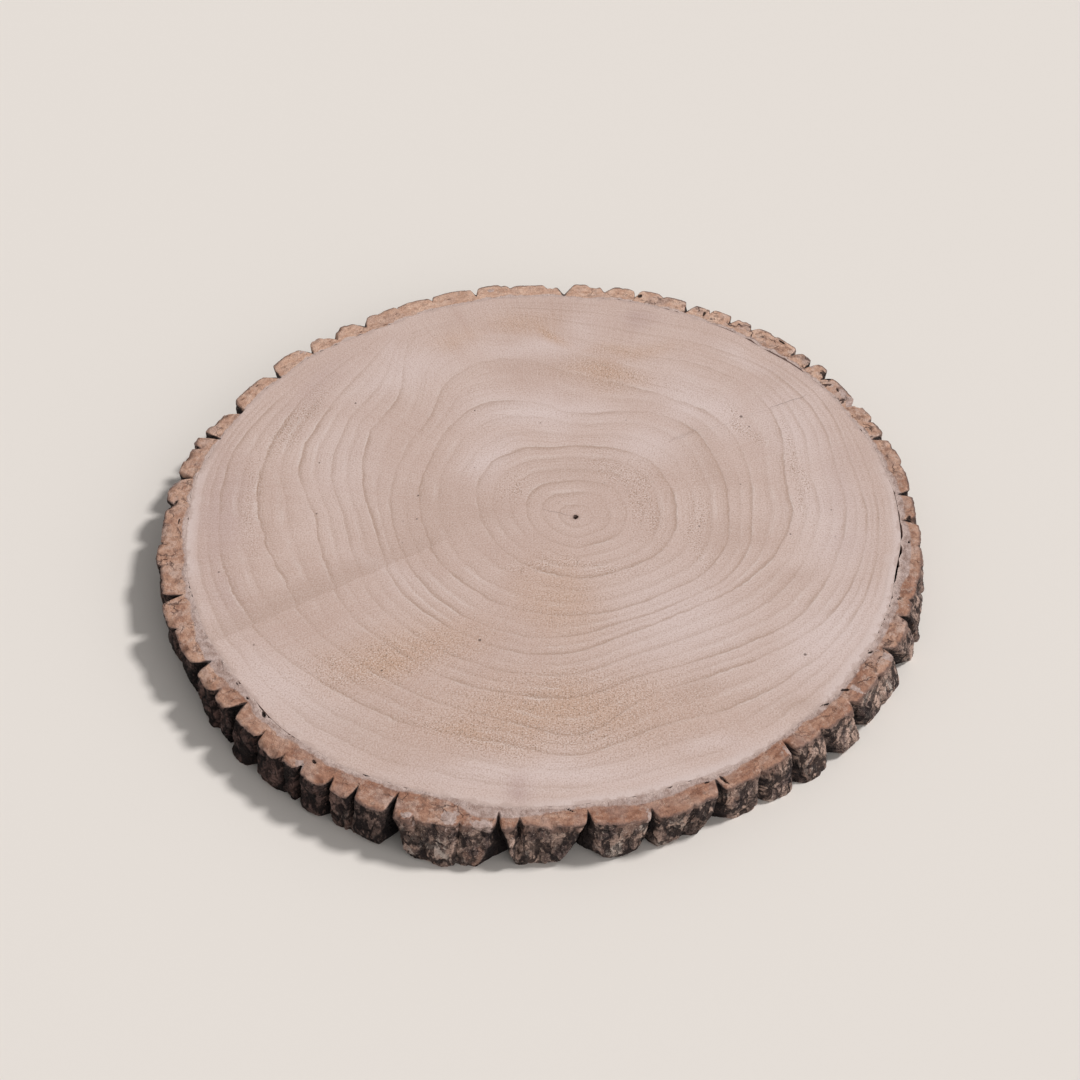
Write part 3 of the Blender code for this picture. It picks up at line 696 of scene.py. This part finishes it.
barkPiece = {
    "columns": 1440, "topSteps": 18, "wallLevels": 34, "underSteps": 6, "innerSteps": 3,
    # Fissures between the ridges: angle, depth and width in mm at the upper face, then how many
    # degrees further round it comes down, and its depth and width in mm there
    "fissures": [
        (0.9, 4.0, 4.0, 1.0, 3.0, 7.0), (6.7, 4.3, 4.0, 1.2, 3.0, 6.0), (13.5, 0.8, 4.0, 0.5, 1.0, 5.0),
        (19.8, 5.0, 4.0, 0.7, 4.0, 7.0), (23.8, 2.3, 3.0, 0.0, 1.5, 4.0), (28.7, 3.0, 3.5, 0.5, 3.0, 6.0),
        (36.0, 4.0, 6.0, 0.5, 4.5, 8.0), (39.7, 5.0, 3.5, 0.5, 2.5, 5.0), (43.3, 4.2, 4.5, -0.8, 4.0, 7.0),
        (52.3, 3.0, 6.0, 0.8, 3.5, 7.0), (56.0, 4.5, 4.0, 0.8, 3.0, 5.0), (60.2, 2.0, 2.5, 0.5, 1.5, 4.0),
        (64.0, 6.0, 5.0, -1.0, 5.0, 8.0), (69.0, 1.0, 5.0, -0.5, 1.0, 5.0), (73.5, 4.0, 4.0, 0.6, 4.0, 6.0),
        (78.8, 2.6, 6.0, 0.8, 3.0, 7.0), (85.7, 6.3, 9.0, 1.0, 5.5, 9.0), (95.3, 1.2, 5.0, 0.5, 2.0, 6.0),
        (101.3, 4.0, 3.5, -0.8, 3.5, 6.0), (108.9, 1.8, 2.5, -0.5, 2.0, 5.0), (115.0, 1.3, 2.5, 0.5, 2.0, 5.0),
        (122.3, 4.4, 9.0, 1.0, 4.5, 9.0), (127.9, 2.3, 6.0, 0.5, 3.0, 7.0), (133.5, 4.5, 7.0, -0.6, 4.5, 8.0),
        (141.6, 6.0, 8.5, -1.0, 5.0, 9.0), (151.8, 7.0, 8.5, 0.8, 6.0, 9.0), (159.5, 8.3, 4.5, 1.2, 6.0, 8.0),
        (162.4, 3.0, 3.0, 0.4, 2.0, 4.0), (169.2, 5.0, 4.5, -1.0, 4.5, 7.0), (175.6, 2.8, 6.0, 0.7, 3.5, 7.0),
        (184.0, 1.3, 2.0, 0.8, 2.5, 6.0), (188.6, 1.0, 2.0, -0.5, 1.0, 4.0), (195.3, 6.0, 5.8, 1.0, 2.5, 8.0),
        (201.8, 2.4, 2.0, 0.8, 2.0, 6.0), (210.0, 5.8, 7.3, -0.5, 3.8, 9.0), (215.6, 2.8, 4.0, 2.2, 4.5, 8.0),
        (220.3, 5.8, 7.5, -0.5, 3.0, 7.0), (226.2, 3.2, 2.8, -0.9, 3.8, 7.0), (231.3, 1.8, 2.5, 1.3, 2.5, 4.0),
        (234.6, 3.0, 3.5, -0.7, 2.5, 5.0), (239.4, 4.2, 3.5, 0.3, 5.0, 6.5), (243.7, 5.0, 3.0, -0.8, 1.0, 3.0),
        (249.3, 8.5, 4.5, 0.5, 10.0, 9.0), (252.7, 2.0, 1.8, 2.5, 0.4, 3.0), (259.0, 1.2, 2.0, -0.4, 0.5, 2.5),
        (264.0, 5.5, 3.5, 1.5, 7.5, 16.0), (267.1, 3.5, 2.8, -0.4, 0.5, 3.0), (276.8, 5.3, 3.5, -1.6, 7.5, 17.0),
        (285.8, 4.0, 3.5, -0.8, 3.5, 7.0), (291.5, 1.0, 3.0, -1.2, 1.0, 6.0), (296.1, 5.0, 3.5, -1.0, 5.0, 14.0),
        (302.9, 1.8, 3.0, 0.3, 3.0, 6.0), (308.8, 5.2, 4.0, 0.4, 2.4, 6.0), (314.6, 1.5, 3.0, 2.2, 4.0, 8.0),
        (321.5, 2.0, 5.0, 2.0, 5.5, 9.0), (328.0, 1.0, 3.0, 0.8, 1.5, 4.0), (333.5, 3.5, 4.5, 4.0, 4.5, 14.0),
        (340.4, 3.0, 4.0, 1.8, 3.5, 8.0), (344.1, 1.5, 3.0, 0.8, 1.0, 4.0), (348.5, 0.8, 3.0, 3.0, 3.5, 9.0),
        (355.5, 0.8, 2.0, 1.2, 1.0, 4.0)],
    "cleftPower": 1.25, "footPower": 0.9, "crown": 1.3, "crownPower": 2.6, "crownDepth": 3,
    "scaleRelief": 0.6, "scaleWaves": 9, "scaleSeed": 4, "leastBark": 1.6,
    # Width in mm of the pale inner band beside the wood, every 7.5 degrees
    "innerBand": [2.0, 2.5, 1.5, 1.0, 0.6, 1.0, 1.2, 1.5, 1.0, 1.0, 0.8, 0.8,
                  0.8, 0.8, 0.8, 0.6, 0.6, 0.6, 0.6, 0.8, 0.8, 1.0, 1.0, 1.2,
                  1.5, 1.5, 2.0, 3.0, 6.0, 3.0, 3.0, 2.5, 2.2, 2.0, 1.5, 6.0,
                  2.8, 1.5, 4.0, 3.0, 1.6, 1.4, 1.6, 2.2, 1.6, 3.0, 3.0, 4.5],
    # Pale chips on the sawn face: angle, radius, half length round, half width in mm
    "chips": [(234.2, 149.2, 3.0, 2.6), (251.6, 151.5, 2.2, 1.2), (257.6, 149.6, 2.8, 3.0),
              (262.3, 150.5, 3.4, 2.4), (285.0, 149.6, 1.0, 2.0), (308.2, 146.8, 1.6, 3.2),
              (324.0, 147.0, 1.8, 2.8), (332.2, 148.0, 1.8, 5.0), (343.0, 149.8, 1.6, 1.4),
              (31.0, 151.8, 6.5, 2.0), (28.6, 150.6, 1.6, 1.8), (39.2, 152.5, 1.5, 1.5),
              (98.5, 149.5, 3.5, 1.8), (133.9, 149.0, 2.0, 2.0), (170.6, 151.0, 1.0, 2.6)],
    # Dark pits and cracks there: angle, radius, half length, half width in mm, turn from the ring
    "pits": [(318.7, 141.4, 1.2, 0.5, 30), (322.8, 143.0, 2.2, 0.6, 50), (331.6, 142.6, 1.4, 0.4, 40),
             (343.9, 145.4, 1.0, 0.4, 70), (356.4, 147.6, 1.2, 0.5, 0), (1.3, 148.7, 1.8, 1.0, 20),
             (223.8, 142.0, 1.6, 0.7, 15), (228.3, 141.1, 1.5, 0.4, 0), (230.2, 141.5, 1.0, 0.3, 0),
             (243.4, 141.2, 2.4, 0.5, 8), (247.2, 141.0, 1.2, 0.3, 0), (274.2, 142.4, 2.0, 0.4, 30),
             (294.8, 142.9, 1.2, 0.4, 10), (297.2, 144.6, 2.4, 0.6, 75), (36.2, 153.0, 3.6, 1.8, 10),
             (32.5, 151.3, 1.4, 0.4, 20), (72.8, 151.2, 1.4, 1.0, 90), (101.3, 148.6, 1.0, 0.9, 40),
             (118.0, 141.0, 2.0, 0.4, 20), (127.6, 141.4, 2.4, 0.4, 0), (145.5, 148.2, 1.6, 0.3, 0),
             (175.0, 149.0, 1.2, 0.7, 20), (176.2, 151.2, 1.2, 0.9, 60), (179.2, 145.9, 1.8, 0.4, 0),
             (184.0, 150.2, 2.0, 0.3, 85), (187.3, 150.2, 1.6, 0.3, 80), (211.0, 143.0, 1.0, 0.3, 0),
             (216.4, 141.3, 1.4, 0.3, 10), (219.6, 141.8, 0.9, 0.4, 0), (235.6, 145.6, 1.5, 0.7, 20),
             (61.0, 151.0, 2.0, 0.6, 80), (46.8, 155.0, 2.6, 0.6, 10)],
    # How far the sawn bark has faded from red-brown to tan, every 15 degrees
    "fade": [0.30, 0.42, 0.60, 0.75, 1.00, 1.00, 0.95, 0.95, 0.90, 0.80, 0.75, 0.60,
             0.45, 0.40, 0.36, 0.32, 0.10, 0.06, 0.16, 0.00, 0.12, 0.20, 0.20, 0.25],
    # Painted shade on the outside, every 15 degrees: darkest on the side away from the sun
    "shade": [0.15, 0.15, 0.15, 0.15, 0.15, 0.15, 0.15, 0.20, 0.25, 0.30, 0.35, 0.40,
              0.50, 0.60, 0.65, 0.65, 0.58, 0.10, 0.00, 0.00, 0.00, 0.00, 0.00, 0.10],
    # How broken and dirty the sawn bark is, every 15 degrees
    "worn": [0.40, 0.60, 1.00, 1.00, 0.75, 0.45, 0.25, 0.15, 0.15, 0.30, 0.35, 0.50,
             0.50, 0.60, 0.60, 0.30, 0.30, 0.60, 0.30, 0.20, 0.30, 0.40, 0.70, 0.70],
    "radius": 150, "plateSwell": 0.65, "flakeSwell": 0.35, "crackDepth": 0.4, "crumbs": 0.2,
}


def seamWidth(angle):      # mm between the pieces: mostly grown together, open where it has dried apart
    opened = 0.0
    for middleOf, half, width in sliceForm["openSeams"]:
        reach = abs(turnBetween(angle, middleOf)) / half
        if reach < 1:
            opened = max(opened, width * math.cos(reach * math.pi / 2))
    turn = math.radians(angle)
    broken = noise.noise(Vector((math.cos(turn), math.sin(turn), 0)) * 22)
    patchy = noise.noise(Vector((math.cos(turn), math.sin(turn), 4)) * 60)
    small = max(0, patchy - 0.28) * 1.6
    return opened * ramp(broken, -0.35, 0.1) + small


def ridgePlace(angle):      # number of the ridge, and the place across it from 0 to 1
    fissures = barkPiece["fissures"]
    along, number = min(((angle - row[0]) % 360, n) for n, row in enumerate(fissures))
    following = fissures[(number + 1) % len(fissures)][0]
    return number, along / ((following - fissures[number][0]) % 360)


def fissureDepth(near, level, jitter):
    depth = 0.0
    power = barkPiece["footPower"] + (barkPiece["cleftPower"] - barkPiece["footPower"]) * level
    for offset, topDeep, topWidth, _, footDeep, footWidth in near:
        deep = footDeep + (topDeep - footDeep) * level
        half = (footWidth + (topWidth - footWidth) * level) / 2
        reach = abs(offset + jitter * min(1.0, half)) / half
        if reach < 1:
            depth = max(depth, deep * (1 - reach) ** power)
    return depth


def ridgeRadius(top, foot, level):
    tuck = max(0.0, 1 - level / sliceForm["tuckLevel"])
    return foot + (top - foot) * level ** sliceForm["topPower"] - sliceForm["footTuck"] * tuck ** 2


def flatSpot(angle, radius, spot):      # 1 in the middle of a spot on the sawn face, 0 at its edge
    place, out, long, wide, *turn = spot
    along = math.radians(turnBetween(angle, place)) * out
    if abs(along) > long + wide:
        return -1.0
    across = radius - out
    turn = math.radians(turn[0] if turn else 0)
    u = (along * math.cos(turn) + across * math.sin(turn)) / long
    v = (across * math.cos(turn) - along * math.sin(turn)) / wide
    return 1 - math.hypot(u, v)


def barkMaterial():
    material = bpy.data.materials.new("ridgedBark")
    material.use_nodes = True
    sheet = NodeSheet(material.node_tree)
    shader = material.node_tree.nodes["Principled BSDF"]
    spot = sheet.add("ShaderNodeTexCoord").outputs["Object"]
    centre = (middle[0], middle[1], 0.0)
    broad = sheet.maths("SUBTRACT", sheet.noise(spot, 120.0, 3.0, 0.5), 0.5)
    ragged = sheet.maths("SUBTRACT", sheet.noise(spot, 420.0, 4.0, 0.65), 0.5)
    grain = sheet.noise(spot, 1300.0, 3.0, 0.75)

    # The sawn face: red-brown bark in streaks, faded to tan where it has weathered
    streak = place(sheet, "polarGrain", Vector=spot, Centre=centre, Round=45.0, Out=700.0, Detail=5.0)
    streaky = sheet.spread(streak, 0.3, 0.7)
    deep = sheet.mix(streaky, (0.250, 0.115, 0.075), (0.450, 0.235, 0.160))
    faded = sheet.mix(streaky, (0.570, 0.340, 0.245), (0.760, 0.520, 0.400))
    patchy = sheet.maths("MULTIPLY", sheet.maths("SUBTRACT", sheet.noise(spot, 70.0, 4.0, 0.6), 0.5), 1.6)
    cut = sheet.mix(sheet.maths("ADD", sheet.mark("fade"), patchy, clamp=True), deep, faded)
    greyish = place(sheet, "patches", Vector=spot, Scale=90.0, Low=0.50, High=0.68, Ragged=0.6)
    worn = sheet.mark("worn")
    greyish = sheet.maths("MULTIPLY", greyish, sheet.maths("ADD", sheet.maths("MULTIPLY", worn, 0.5), 0.2))
    cut = sheet.mix(greyish, cut, (0.430, 0.320, 0.290))
    mottled = place(sheet, "patches", Vector=spot, Scale=240.0, Low=0.50, High=0.60, Ragged=0.65)
    cut = sheet.mix(sheet.maths("MULTIPLY", mottled, sheet.spread(worn, 0.0, 1.0, 0.15, 0.6)),
                    cut, (0.660, 0.490, 0.420))
    stained = place(sheet, "patches", Vector=spot, Scale=310.0, Low=0.53, High=0.62, Ragged=0.65)
    cut = sheet.mix(sheet.maths("MULTIPLY", stained, sheet.spread(worn, 0.0, 1.0, 0.25, 0.65)),
                    cut, (0.220, 0.120, 0.090))
    crumbs = place(sheet, "patches", Vector=spot, Scale=520.0, Low=0.56, High=0.66, Ragged=0.7)
    cut = sheet.mix(sheet.maths("MULTIPLY", crumbs, 0.30), cut, (0.680, 0.530, 0.450))
    cut = sheet.mix(sheet.spread(grain, 0.50, 0.30, 0.0, 0.35), cut, (0.170, 0.090, 0.065))
    slits = sheet.maths("MULTIPLY", sheet.spread(streak, 0.35, 0.28), sheet.spread(broad, -0.05, 0.1))
    tears = place(sheet, "crackNet", Vector=spot, Scale=110.0, Width=0.055, Wander=0.008, Share=0.6)
    tears = sheet.maths("MULTIPLY", tears, sheet.spread(worn, 0.1, 0.9, 0.15, 1.0))
    holes = place(sheet, "patches", Vector=spot, Scale=170.0, Low=0.62, High=0.66, Ragged=0.6)
    holes = sheet.maths("MULTIPLY", holes, sheet.spread(worn, 0.3, 1.0))
    slits = sheet.maths("MAXIMUM", sheet.maths("MULTIPLY", slits, 0.8), sheet.maths("MAXIMUM", tears, holes))
    cut = sheet.mix(sheet.maths("MULTIPLY", slits, 0.92), cut, (0.060, 0.034, 0.030))
    # darker along the outer edge of the sawn face
    raggedFromEdge = sheet.maths("ADD", sheet.mark("fromEdge"), sheet.maths("MULTIPLY", ragged, 2.4))
    raggedFromEdge = sheet.maths("ADD", raggedFromEdge, sheet.maths("MULTIPLY", broad, 2.0))
    cut = sheet.mix(sheet.spread(raggedFromEdge, 0.1, 1.3, 0.75, 0.0), cut, (0.150, 0.100, 0.088))

    # The pale band next to the wood, and pale chips along the fissures
    band = sheet.maths("ADD", sheet.mark("pastBand"), sheet.maths("MULTIPLY", broad, 4.5))
    band = sheet.maths("ADD", band, sheet.maths("MULTIPLY", ragged, 1.6))
    pale = sheet.maths("ADD", sheet.mark("chip"), sheet.maths("MULTIPLY", ragged, 3.4))
    pale = sheet.maths("ADD", pale, sheet.maths("MULTIPLY", broad, 3.0))
    cloudy = sheet.spread(sheet.noise(spot, 300.0, 5.0, 0.7), 0.35, 0.65)
    flesh = sheet.mix(cloudy, (0.370, 0.255, 0.220), (0.570, 0.440, 0.405))
    flesh = sheet.mix(sheet.spread(grain, 0.43, 0.28, 0.0, 0.6), flesh, (0.140, 0.100, 0.090))
    flesh = sheet.mix(sheet.spread(grain, 0.60, 0.74, 0.0, 0.5), flesh, (0.800, 0.700, 0.660))
    fleshMask = sheet.maths("MAXIMUM", sheet.spread(band, -0.45, 0.45, 1.0, 0.0),
                            sheet.spread(pale, 0.05, 0.3))
    cut = sheet.mix(fleshMask, cut, flesh)
    woody = sheet.maths("ADD", sheet.mark("fromWood"), sheet.maths("MULTIPLY", ragged, 4.0))
    woody = sheet.maths("ADD", woody, sheet.maths("MULTIPLY", broad, 5.0))
    cut = sheet.mix(sheet.spread(woody, 0.2, 1.1, 0.75, 0.0), cut, (0.620, 0.485, 0.440))

    # painted shade of the fissures, carried onto the outer edge of the sawn face
    notch = sheet.maths("ADD", sheet.mark("hollow"), sheet.maths("MULTIPLY", ragged, 0.6))
    brink = sheet.maths("ADD", sheet.mark("fromEdge"), sheet.maths("MULTIPLY", ragged, 3.0))
    notch = sheet.maths("MULTIPLY", sheet.spread(notch, 0.35, 0.70, 0.0, 0.92),
                        sheet.spread(brink, 0.8, 2.2, 1.0, 0.0))
    cut = sheet.mix(notch, cut, (0.030, 0.020, 0.019))

    # The outside: speckled taupe, dark cracks, painted shade in the hollows and on the side away from the sun,
    # pale lichen and reddish breaks
    tall = sheet.add("ShaderNodeVectorMath", {"operation": "MULTIPLY"}, in_0=spot,
                     in_1=(1.0, 1.0, 0.55)).outputs[0]
    tone = sheet.noise(tall, 160.0, 5.0, 0.65)
    outer = sheet.mix(sheet.spread(tone, 0.38, 0.62), (0.110, 0.074, 0.068), (0.530, 0.370, 0.305))
    rusty = place(sheet, "patches", Vector=spot, Scale=110.0, Low=0.53, High=0.66, Ragged=0.6)
    outer = sheet.mix(sheet.maths("MULTIPLY", rusty, 0.5), outer, (0.340, 0.190, 0.135))
    lichen = place(sheet, "patches", Vector=tall, Scale=150.0, Low=0.56, High=0.64, Ragged=0.72)
    outer = sheet.mix(sheet.maths("MULTIPLY", lichen, 0.85), outer, (0.650, 0.550, 0.490))
    outer = sheet.mix(sheet.spread(grain, 0.55, 0.70, 0.0, 0.75), outer, (0.710, 0.580, 0.500))
    outer = sheet.mix(sheet.spread(grain, 0.47, 0.34, 0.0, 0.85), outer, (0.035, 0.025, 0.025))
    burnt = place(sheet, "patches", Vector=tall, Scale=75.0, Low=0.54, High=0.66, Ragged=0.65)
    outer = sheet.mix(sheet.maths("MULTIPLY", burnt, 0.7), outer, (0.040, 0.028, 0.027))
    plates = place(sheet, "crackNet", Vector=tall, Scale=95.0, Width=0.11, Wander=0.010, Share=0.8)
    fine = place(sheet, "crackNet", Vector=tall, Scale=230.0, Width=0.13, Wander=0.005, Share=0.7)
    splits = sheet.maths("MAXIMUM", plates, sheet.maths("MULTIPLY", fine, 0.8))
    outer = sheet.mix(sheet.maths("MULTIPLY", splits, 0.9), outer, (0.016, 0.011, 0.012))
    # painted shade: darker the deeper the fissure or crack
    outer = sheet.mix(sheet.spread(sheet.mark("hollow"), 0.2, 0.9, 0.0, 0.93), outer, (0.014, 0.010, 0.011))
    # painted shade: the outside darkened on the side away from the sun
    paintedSideShade = sheet.maths("MULTIPLY", sheet.mark("shade"), 1.4, clamp=True)
    outer = sheet.mix(paintedSideShade, outer, (0.230, 0.185, 0.200), "MULTIPLY")

    rim = sheet.maths("ADD", sheet.mark("cutFace"), sheet.maths("MULTIPLY", broad, 1.2))
    rim = sheet.maths("ADD", rim, sheet.maths("MULTIPLY", ragged, 0.8))
    rimMask = sheet.spread(rim, 0.33, 0.57)
    colour = sheet.mix(rimMask, outer, cut)
    pits = sheet.maths("ADD", sheet.mark("pit"), sheet.maths("MULTIPLY", ragged, 1.8))
    pits = sheet.spread(pits, 0.0, 0.25)
    colour = sheet.mix(sheet.maths("MULTIPLY", pits, 0.92), colour, (0.022, 0.014, 0.013))
    sheet.tree.links.new(colour, shader.inputs["Base Color"])

    # Crumbly surface, sunk along the cracks
    outside = sheet.maths("SUBTRACT", 1.0, rimMask)
    coarse = sheet.noise(spot, 330.0, 5.0, 0.65)
    height = sheet.maths("ADD", sheet.maths("MULTIPLY", coarse, 0.9), sheet.maths("MULTIPLY", grain, 0.45))
    height = sheet.maths("SUBTRACT", height, sheet.maths("MULTIPLY", pits, 0.6))
    height = sheet.maths("SUBTRACT", height, sheet.maths("MULTIPLY", slits, 0.4))
    height = sheet.maths("SUBTRACT", height, sheet.maths("MULTIPLY", splits, outside))
    bump = sheet.add("ShaderNodeBump", Height=height, Strength=0.9, Distance=0.0011)
    sheet.tree.links.new(bump.outputs["Normal"], shader.inputs["Normal"])
    sheet.tree.links.new(sheet.spread(tone, 0.3, 0.7, 0.78, 0.95), shader.inputs["Roughness"])
    shader.inputs["Specular IOR Level"].default_value = 0.2
    return material


def barkScales():      # the same draws as the CAD's: phase and height of each ridge's scales
    draws = numpy.random.default_rng(barkPiece["scaleSeed"]).uniform(-1, 1, (len(barkPiece["fissures"]), 2))
    return [(phase * math.pi, height) for phase, height in draws.tolist()]


def barkPlate(s, z, seed):      # a cracked layer: how deep the crack is, and how far the plate swells
    distances, points = noise.voronoi(Vector((s, z, seed)), distance_metric="DISTANCE", exponent=2.5)
    lift = noise.cell(points[0] * 7.3)
    return 1 - ramp(distances[1] - distances[0], 0.0, 0.16), 0.5 * lift + 0.5 * (1 - distances[0])


def wallRelief(angle, level, turn):      # mm added to the ridges, and how hollow it is there
    s = math.radians(angle) * barkPiece["radius"]
    z = level * sliceForm["thickness"]
    at = Vector((math.cos(turn), math.sin(turn), 0)) * barkPiece["radius"] + Vector((0, 0, z))
    bend = noise.noise(at * 0.16) * 4
    crack, swell = barkPlate((s + bend) / 11, (z + bend) / 8, 1.0)
    fineCrack, fineSwell = barkPlate((s - bend) / 4.6, (z + bend) / 3.4, 9.0)
    crumbs = noise.fractal(at * 0.7, 0.6, 2.1, 3)
    relief = barkPiece["plateSwell"] * (swell - 0.5) + barkPiece["flakeSwell"] * (fineSwell - 0.5)
    relief -= barkPiece["crackDepth"] * (crack + 0.35 * fineCrack)
    relief += barkPiece["crumbs"] * crumbs
    return relief, 0.5 * crack + 0.15 * fineCrack


def edgeWear(turn):      # mm that the sawn edge has crumbled down, and how far in that reaches
    ring = Vector((math.cos(turn), math.sin(turn), 0))
    broad = noise.noise(ring * 16 + Vector((0, 0, 5)))
    small = noise.noise(ring * 55 + Vector((0, 0, 2)))
    return 0.35 + 2.0 * ramp(broad + 0.25 * small, 0.12, 0.6) + 0.15 * small, 2.0 + 2.0 * broad


def barkColumns():      # all that stays the same along one column of the ring
    fissures = barkPiece["fissures"]
    scales = barkScales()
    columns = []
    for number in range(barkPiece["columns"]):
        angle = 360 * number / barkPiece["columns"]
        ridge, across = ridgePlace(angle)
        offsets = [math.radians(turnBetween(angle, row[0])) * barkPiece["radius"] for row in fissures]
        before, after = fissures[ridge], fissures[(ridge + 1) % len(fissures)]
        _, topDeep, _, _, footDeep, _ = before if across < 0.5 else after
        columns.append({
            "angle": angle, "across": across, "scale": scales[ridge],
            "near": [(offset, *row[1:]) for offset, row in zip(offsets, fissures) if abs(offset) < 12],
            "crown": barkPiece["crown"] * abs(2 * across - 1) ** barkPiece["crownPower"],
            "sides": (footDeep, topDeep), "shift": before[3] + (after[3] - before[3]) * across,
            "inner": woodRadius(angle) + 0.02 + seamWidth(angle),
            "top": around(sliceForm["topRadii"], angle), "foot": around(sliceForm["footRadii"], angle),
            "wear": edgeWear(math.radians(angle)), "band": around(barkPiece["innerBand"], angle),
            "fade": around(barkPiece["fade"], angle), "worn": around(barkPiece["worn"], angle),
            "shade": max(0.0, around(barkPiece["shade"], angle)),
            "chips": [spot for spot in barkPiece["chips"] if abs(turnBetween(angle, spot[0])) < 5],
            "pits": [spot for spot in barkPiece["pits"] if abs(turnBetween(angle, spot[0])) < 5]})
    return columns


def makeBark():
    high = sliceForm["thickness"]
    top = [(across, 1) for across in steps(0, 1, barkPiece["topSteps"])]
    wall = [(1, level) for level in steps(1, 0, barkPiece["wallLevels"])]
    under = [(across, 0) for across in steps(1, 0, barkPiece["underSteps"])]
    inner = [(0, level) for level in steps(0, 1, barkPiece["innerSteps"])]
    bm, layers, places = ringGrid(barkPiece["columns"], top + wall + under + inner,
                                  ("pastBand", "cutFace", "hollow", "chip", "pit", "fade", "shade", "worn",
                                   "fromEdge", "fromWood"))
    columns = barkColumns()
    for vertex, column, across, level in places:
        here = columns[column]
        angle, inner = here["angle"], here["inner"]
        turn = math.radians(angle)
        jitter = noise.noise(Vector((math.cos(turn) * 40, math.sin(turn) * 40, level * 3.5))) * 0.9
        deep = fissureDepth(here["near"], level, jitter)
        phase, lift = here["scale"]
        wave = math.sin(barkPiece["scaleWaves"] * level + phase) * math.sin(math.pi * here["across"])
        relief, hollow = wallRelief(angle, level, turn)
        outer = ridgeRadius(here["top"], here["foot"], level)
        footDeep, topDeep = here["sides"]
        rounding = min(1.0, (footDeep + (topDeep - footDeep) * level) / barkPiece["crownDepth"])
        outer += barkPiece["scaleRelief"] * (lift + wave) - here["crown"] * rounding - deep
        outer += relief * (1 - 0.5 * ramp(level, 0.86, 1.0))
        outer = max(outer, inner + barkPiece["leastBark"] * 0.8)
        radius = inner + across * (outer - inner)
        turn = math.radians(angle + here["shift"] * (1 - level) * across)
        fromEdge = (1 - across) * (outer - inner)
        wear, reach = here["wear"]
        drop = wear * ramp(1 - fromEdge / max(0.8, reach), 0, 1) * level * ramp(across, 0, 0.2)
        onFace = 1.0 if level > 0.999 or level < 0.001 else 0.0
        pit = max((flatSpot(angle, radius, spot) for spot in here["pits"]), default=-1.0) if onFace else -1.0
        chip = max((flatSpot(angle, radius, spot) for spot in here["chips"]), default=-1.0)
        if 0 < across < 1 and level > 0.999:
            drop += 1.2 * ramp(pit, 0, 0.8)
        vertex.co = (middle[0] + radius * math.cos(turn) * mm, middle[1] + radius * math.sin(turn) * mm,
                     (level * high - drop) * mm)
        vertex[layers["pastBand"]] = radius - inner - here["band"]
        # the sawn colour reaching down the wall is held back where the outside has painted shade
        shoulder = ramp(level, 0.60, 1.0) * 0.5 * (1 - here["shade"])
        vertex[layers["cutFace"]] = max(onFace * ramp(fromEdge, -0.9, 0.9), shoulder)
        vertex[layers["fade"]] = here["fade"]
        vertex[layers["shade"]] = here["shade"]
        vertex[layers["worn"]] = here["worn"]
        vertex[layers["fromEdge"]] = fromEdge
        vertex[layers["fromWood"]] = radius - inner
        # how hollow it is; the material paints shade there
        vertex[layers["hollow"]] = min(1.0, deep / 5 + hollow * (1 - onFace))
        vertex[layers["chip"]] = chip if level > 0.7 else -1.0
        vertex[layers["pit"]] = pit
    closeRing(bm)
    return finishPiece(bm, "bark_ring", barkMaterial(), "bark")


makeBark()
